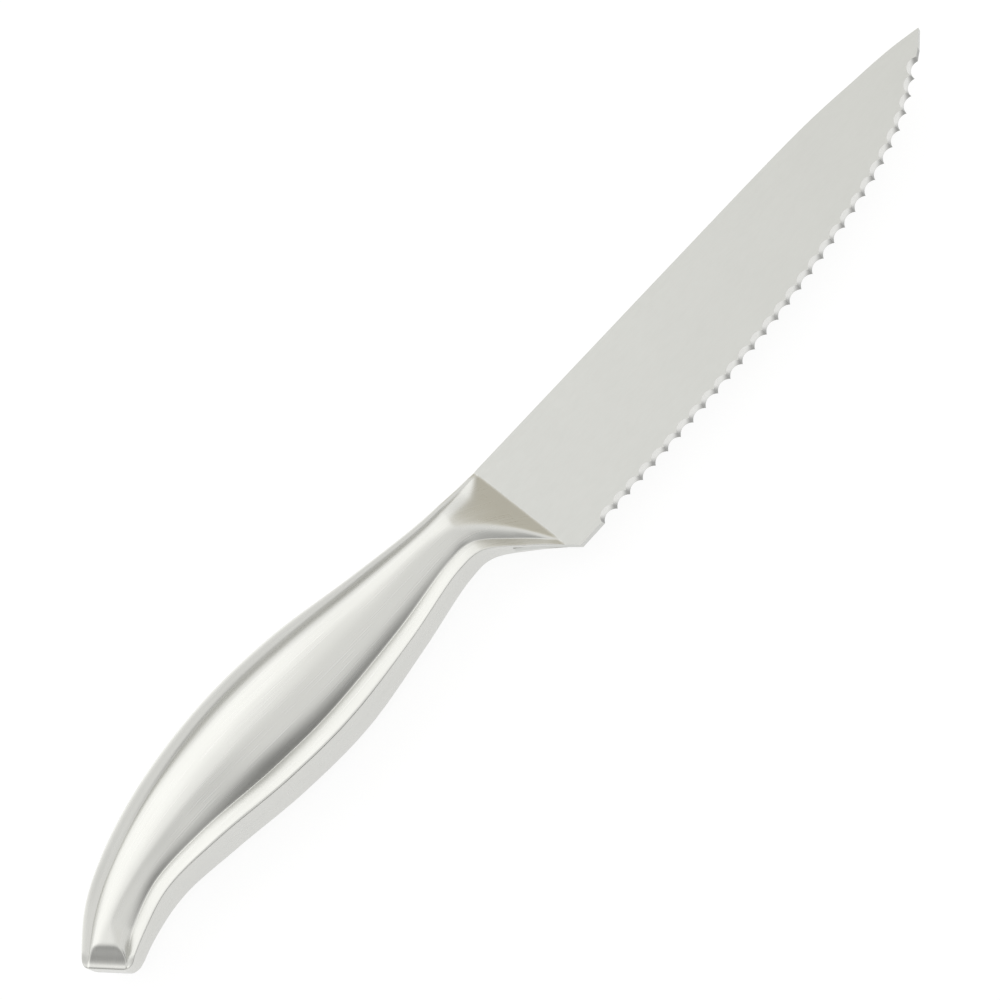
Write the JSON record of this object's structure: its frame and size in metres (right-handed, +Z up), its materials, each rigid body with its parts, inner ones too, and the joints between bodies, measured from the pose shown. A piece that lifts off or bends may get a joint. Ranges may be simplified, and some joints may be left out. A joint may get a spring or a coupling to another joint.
{
  "type": "serrated steak knife",
  "caption": "All-steel serrated steak knife with a pointed satin blade and a curved hollow handle pressed in two halves, for cutting cooked meat at the table.",
  "frame": {"origin": "under the middle of the knife as it lies on its left side, on the surface it lies on", "axes": "+X from the butt to the tip, +Y from the cutting edge to the spine, +Z up through the right side of the blade"},
  "size_m": [0.2314, 0.0338, 0.0145],
  "materials": {
    "blade_steel": "even fine satin, ground serrations",
    "handle_steel": "satin brushed along the handle, soft sheen on the crown",
    "weld_steel": "weld run dressed flush and brushed with the shells",
    "tang_cement": "cast resin cement, matt, not seen"
  },
  "bodies": {
    "root": {"blade": "blade_steel", "handle_shell_right": "handle_steel", "handle_shell_left": "handle_steel", "seam_weld": "weld_steel", "nose_weld_right": "weld_steel", "nose_weld_left": "weld_steel", "tang_cement": "tang_cement"}
  },
  "joints": []
}
